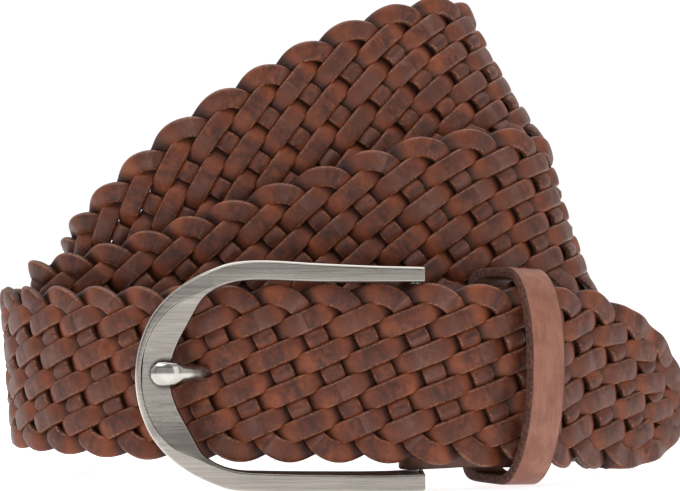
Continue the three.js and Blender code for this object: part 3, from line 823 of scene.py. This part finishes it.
def add_frame(metal):
    half = FRAME_HALF[:-1]

    def side(rows, sign):
        top, inner = (2, 3) if sign > 0 else (4, 5)
        return np.column_stack([
            rows[:, 0] * FRAME_LENGTH, FRAME_MIDDLE + sign * rows[:, top] * FRAME_MIDDLE,
            rows[:, 1] * FRAME_LENGTH, FRAME_MIDDLE + sign * rows[:, inner] * FRAME_MIDDLE,
            rows[:, 6], rows[:, 7] * FRAME_DEPTH, rows[:, 8] * FRAME_DEPTH])

    rows = np.concatenate([side(half, -1), side(FRAME_HALF[-1:], 1), side(half[::-1], 1)])
    places = np.concatenate([[0], np.cumsum(np.linalg.norm(np.diff(rows[:, :2], axis=0), axis=1))])
    rings = [frame_ring(row) for row in eased_rows(rows, places, FRAME_SECTIONS)]
    points, faces = skin(rings)
    bar_half = FRAME_MIDDLE * ARM_INSIDE_SHARE + 1
    turns = 2 * np.pi * np.arange(BAR_SIDES) / BAR_SIDES
    circle = bar_place() + np.column_stack([np.cos(turns), np.sin(turns)]) * BAR_DIAMETER / 2
    ends = [np.column_stack([circle, np.full(BAR_SIDES, FRAME_MIDDLE + way * bar_half)]) for way in (-1, 1)]
    bar_points, bar_faces = skin(ends)
    faces += [tuple(i + len(points) for i in face) for face in bar_faces]
    piece = add_mesh("buckle_frame_shaped", np.concatenate([points, bar_points]), faces, metal)
    mark(piece, "worn_rim", np.concatenate([np.tile(SECTION_HIGHLIGHT, len(rings)), np.zeros(len(bar_points))]))
    face_out(piece)
    bevel(piece, 0.22)
    smooth(piece, 40)
    finish_piece(piece, "buckle_frame")


# The prong's middle from the bar to its tip: along, depth, width, thickness, as shares.
PRONG = np.array([
    (0.2357, 0.3147, 1, 0.8),
    (0.1429, 0.2867, 1, 1),
    (-0.0714, 0.3147, 1, 1),
    (-0.2321, 0.3427, 0.98, 1),
    (-0.3661, 0.2797, 0.95, 1),
    (-0.4464, 0.0839, 0.95, 1),
    (-0.4964, -0.1329, 1, 1),
    (-0.5393, -0.3147, 1.12, 1),
    (-0.5714, -0.4266, 1.3, 1),
    (-0.6107, -0.451, 1.38, 1),
    (-0.632, -0.4476, 1.2, 0.9),
    (-0.6446, -0.4406, 0.66, 0.6),
])
PRONG_LIFT = 0.5
PRONG_SECTIONS = 90
PRONG_SIDES = 28
PRONG_SQUARENESS = 0.94
PRONG_CAP_STEPS = 6
PRONG_CAP_REACH = 0.15
PRONG_CAP_END = 0.06
EYE_SIDES = 40
EYE_WALL = PRONG_THICKNESS * 0.75
# where the prong's round head rests on the frame, also the centre of the painted shadow round it: along from
# the belt's middle, and its height
PRONG_SEAT = (-34.6, FRAME_MIDDLE + PRONG_LIFT)


def add_prong(metal):
    rows = PRONG * (FRAME_LENGTH, FRAME_DEPTH, 1, 1)
    places = np.concatenate([[0], np.cumsum(np.linalg.norm(np.diff(rows[:, :2], axis=0), axis=1))])
    rows = eased_rows(rows, places, PRONG_SECTIONS)
    index = np.arange(len(rows))
    ways = unit(rows[np.minimum(index + 1, len(rows) - 1), :2] - rows[np.maximum(index - 1, 0), :2])
    turns = 2 * np.pi * (np.arange(PRONG_SIDES) + 0.5) / PRONG_SIDES
    squared = [np.sign(v) * np.abs(v) ** PRONG_SQUARENESS for v in (np.sin(turns), np.cos(turns))]
    height = FRAME_MIDDLE + PRONG_LIFT
    rings = []
    for (x, y, wide, thick), way in zip(rows, ways):
        out = squared[0] * PRONG_THICKNESS * thick / 2
        up = squared[1] * PRONG_WIDTH * wide / 2
        rings.append(np.column_stack([x + way[1] * out, y - way[0] * out, height + up]))
    last, way = rings[-1], ways[-1]
    centre = last.mean(axis=0)
    for k in range(1, PRONG_CAP_STEPS + 1):
        angle = math.pi / 2 * k / PRONG_CAP_STEPS
        ahead = math.sin(angle) * PRONG_CAP_REACH
        shrunk = (last - centre) * max(math.cos(angle), PRONG_CAP_END)
        rings.append(centre + shrunk + np.array([way[0], way[1], 0]) * ahead)
    points, faces = skin(rings)
    bar_x, bar_y = bar_place()
    inner = BAR_DIAMETER / 2 + CLEARANCE
    outer = inner + EYE_WALL
    section = [(inner, -0.5), (outer, -0.5), (outer, 0.5), (inner, 0.5)]
    eye = []
    for k in range(EYE_SIDES):
        angle = 2 * np.pi * k / EYE_SIDES
        ahead, aside = math.cos(angle), math.sin(angle)
        eye.append(np.array([(bar_x + ahead * r, bar_y + aside * r, height + h * PRONG_WIDTH)
                             for r, h in section]))
    eye_points, eye_faces = skin(eye, closed=True)
    faces += [tuple(i + len(points) for i in face) for face in eye_faces]
    piece = add_mesh("prong_shaped", np.concatenate([points, eye_points]), faces, metal)
    face_out(piece)
    smooth(piece, 50)
    finish_piece(piece, "prong")


CHAPE_END_SHARE = 0.88
CHAPE_LEG_POINTS = 24
CHAPE_FOLD_POINTS = 25
CHAPE_SAG = 0.9
CHAPE_FOOT_FROM, CHAPE_FOOT_OVER = 2.0, 8.0
CHAPE_EDGE_ROUNDING = 0.02


def chape_height():
    return 2 * (FRAME_MIDDLE * ARM_INSIDE_SHARE - CLEARANCE)


def add_chape(leather):
    leg_out = BAND_THICKNESS / 2 + CLEARANCE + CHAPE_THICKNESS / 2
    fold = BAR_DIAMETER / 2 + CLEARANCE + CHAPE_THICKNESS / 2
    leg = np.linspace(0, CHAPE_REACH, CHAPE_LEG_POINTS)
    eased = np.clip((leg - CHAPE_TAPER_FROM) / (CHAPE_REACH - CHAPE_TAPER_FROM), 0, 1)
    taper = 1 - (1 - CHAPE_END_SHARE) * eased * eased * (3 - 2 * eased)
    bar_x, bar_y = bar_place()
    level = np.zeros(CHAPE_LEG_POINTS)
    turns = np.pi * (1.5 - np.linspace(0, 1, CHAPE_FOLD_POINTS))
    bend = np.column_stack([bar_x + fold * np.cos(turns), bar_y + fold * np.sin(turns),
                            np.zeros(CHAPE_FOLD_POINTS)])
    middle = np.concatenate([band.beside(leg, level + leg_out, level)[::-1], bend,
                             band.beside(leg, level - leg_out, level)])
    tall = np.concatenate([taper[::-1], np.ones(CHAPE_FOLD_POINTS), taper]) * chape_height() / 2
    foot_reach = FRAME_MIDDLE * FOOT_INSIDE_SHARE - CLEARANCE
    soft = np.linspace(-1, 1, 9)
    rings, edges = [], []
    for i, place in enumerate(middle):
        a, b = middle[max(i - 1, 0)], middle[min(i + 1, len(middle) - 1)]
        way = unit((b - a)[:2])
        drop = np.clip((place[0] - bar_x) / CHAPE_REACH, 0, 1) * -CHAPE_SAG
        spread = np.clip((place[0] - bar_x - CHAPE_FOOT_FROM) / CHAPE_FOOT_OVER, 0, 1)
        foot = foot_reach + (chape_height() / 2 - foot_reach) * spread * spread * (3 - 2 * spread)
        deeper = foot / (chape_height() / 2)
        tops = 1 - CHAPE_EDGE_ROUNDING * soft ** 4
        outline = list(zip(soft * 0.5, -tops * deeper)) + list(zip(soft[::-1] * 0.5, tops[::-1]))
        rings.append(np.array([
            (place[0] + way[1] * out * CHAPE_THICKNESS, place[1] - way[0] * out * CHAPE_THICKNESS,
             FRAME_MIDDLE + drop + up * tall[i]) for out, up in outline]))
        edges.append(np.full(len(outline), 1.0 if i in (0, len(middle) - 1) else 0.0)
                     + np.array([abs(out) < 0.42 for out, _ in outline]))
    points, faces = skin(rings)
    piece = add_mesh("chape_shaped", points, faces, leather)
    mark(piece, "cut_edge", np.clip(np.concatenate(edges), 0, 1))
    face_out(piece)
    smooth(piece, 40)
    finish_piece(piece, "chape")


def resampled(points, count):
    """A closed loop of points spaced evenly, starting where it started."""
    closed = np.concatenate([points, points[:1]])
    gone = np.concatenate([[0], np.cumsum(np.linalg.norm(np.diff(closed, axis=0), axis=1))])
    at = np.linspace(0, gone[-1], count, endpoint=False)
    return np.stack([np.interp(at, gone, closed[:, k]) for k in range(3)], -1)


KEEPER_LOOP_POINTS = 180
KEEPER_EDGE_ROUNDING = 0.55


def add_keeper(leather):
    at = band.distance[KEEPER_ROW * Band.STEPS] - KEEPER_BACK
    middle, along, across, outward, half_width = (v[0] for v in band.frames(np.array([at])))
    centre = BAND_THICKNESS * -0.45
    front = BAND_THICKNESS * 1.85
    back = BAND_THICKNESS * 1.5 + CHAPE_THICKNESS * 2 + CLEARANCE * 8
    tall = max(half_width, chape_height() / 2) + 5 * CLEARANCE
    turns = np.linspace(0, 2 * np.pi, 720, endpoint=False)
    facing = np.cos(turns) > 0
    power = 2 / np.where(facing, KEEPER_FRONT_ROUNDING, KEEPER_BACK_ROUNDING)

    def curved(v):
        return np.sign(v) * np.abs(v) ** power

    def loop(grow, shift):
        out = centre + curved(np.cos(turns)) * (np.where(facing, front, back) + grow)
        up = curved(np.sin(turns)) * (tall + grow)
        points = middle + np.outer(out, outward) + np.outer(up, across) + along * shift
        return resampled(points, KEEPER_LOOP_POINTS)

    wide, thick, soft = KEEPER_WIDTH / 2, KEEPER_THICKNESS, KEEPER_EDGE_ROUNDING
    corners = ((soft, -wide + soft, 180), (thick - soft, -wide + soft, 270),
               (thick - soft, wide - soft, 0), (soft, wide - soft, 90))
    section = [(grow + soft * math.cos(angle), shift + soft * math.sin(angle))
               for grow, shift, first in corners
               for angle in np.radians(np.linspace(first, first + 90, 5))]
    points, faces = skin([loop(grow, shift) for grow, shift in section], closed=True)
    cut = [1.0 if abs(shift) > wide - soft * 0.9 else 0.0 for _, shift in section]
    piece = add_mesh("keeper_shaped", points, faces, leather)
    mark(piece, "cut_edge", np.repeat(cut, KEEPER_LOOP_POINTS))
    face_out(piece)
    smooth(piece, 60)
    finish_piece(piece, "keeper")


def add_world():
    world = bpy.data.worlds.new("studio")
    bpy.context.scene.world = world
    world.use_nodes = True
    tree = world.node_tree
    background = tree.nodes["Background"]
    spot = tree.nodes.new("ShaderNodeTexCoord")
    split = tree.nodes.new("ShaderNodeSeparateXYZ")
    tree.links.new(spot.outputs["Generated"], split.inputs[0])
    ramp = tree.nodes.new("ShaderNodeValToRGB")
    ramp.color_ramp.elements[0].position = 0.0
    ramp.color_ramp.elements[0].color = (0.12, 0.12, 0.12, 1)
    ramp.color_ramp.elements[1].position = 0.6
    ramp.color_ramp.elements[1].color = (1, 1, 1, 1)
    span = tree.nodes.new("ShaderNodeMapRange")
    span.inputs["From Min"].default_value = -1.0
    tree.links.new(split.outputs["Y"], span.inputs["Value"])
    tree.links.new(span.outputs[0], ramp.inputs[0])
    tree.links.new(ramp.outputs[0], background.inputs["Color"])
    background.inputs["Strength"].default_value = 1.05


def add_floor():
    bpy.ops.mesh.primitive_plane_add(size=12, location=(0, 2, -0.0004))
    floor = bpy.context.object
    floor.name = "floor"
    pale = Finish("pale_floor", Roughness=0.6, Specular_IOR_Level=0.2, Emission_Strength=0.8,
                  Emission_Color=(1, 1, 1, 1))
    cloud = pale.noise(pale.place(), 3, 2.0, 0.5)
    colour = pale.blend(cloud, shade(246, 246, 246), shade(250, 250, 250))
    floor.data.materials.append(pale.wear(Base_Color=colour))


def softbox(name, place, target, size, power):
    """A rectangular light at a place, in metres, that faces its target."""
    light = bpy.data.lights.new(name, "AREA")
    light.shape = "RECTANGLE"
    light.size, light.size_y = size
    light.energy = power
    holder = bpy.data.objects.new(name, light)
    holder.location = place
    holder.rotation_euler = (Vector(target) - Vector(place)).to_track_quat("-Z", "Y").to_euler()
    bpy.context.scene.collection.objects.link(holder)


def add_studio():
    add_world()
    add_floor()
    softbox("key", (-0.4, -0.55, 0.95), (0, 0, 0.04), (0.9, 0.5), 5.6)
    softbox("front card", (0.0, -1.4, 0.2), (0, 0, 0.05), (1.8, 1.0), 2.4)
    softbox("fill", (0.7, -0.6, 0.35), (0, 0, 0.04), (0.5, 0.7), 1.6)
    softbox("top", (0.0, 0.1, 0.9), (0, 0, 0.04), (0.9, 0.6), 3.0)
    bpy.context.scene.view_settings.view_transform = "Standard"


add_camera()
add_strands(braid_finish())
add_frame(satin_metal())
add_prong(polished_metal())
add_chape(plain_leather("chape_leather", shade(74, 44, 32), shade(96, 60, 46), shade(60, 34, 24), 0.5))
add_keeper(plain_leather("keeper_leather", shade(108, 64, 49), shade(130, 84, 65), shade(50, 22, 14), 0.42))
add_studio()
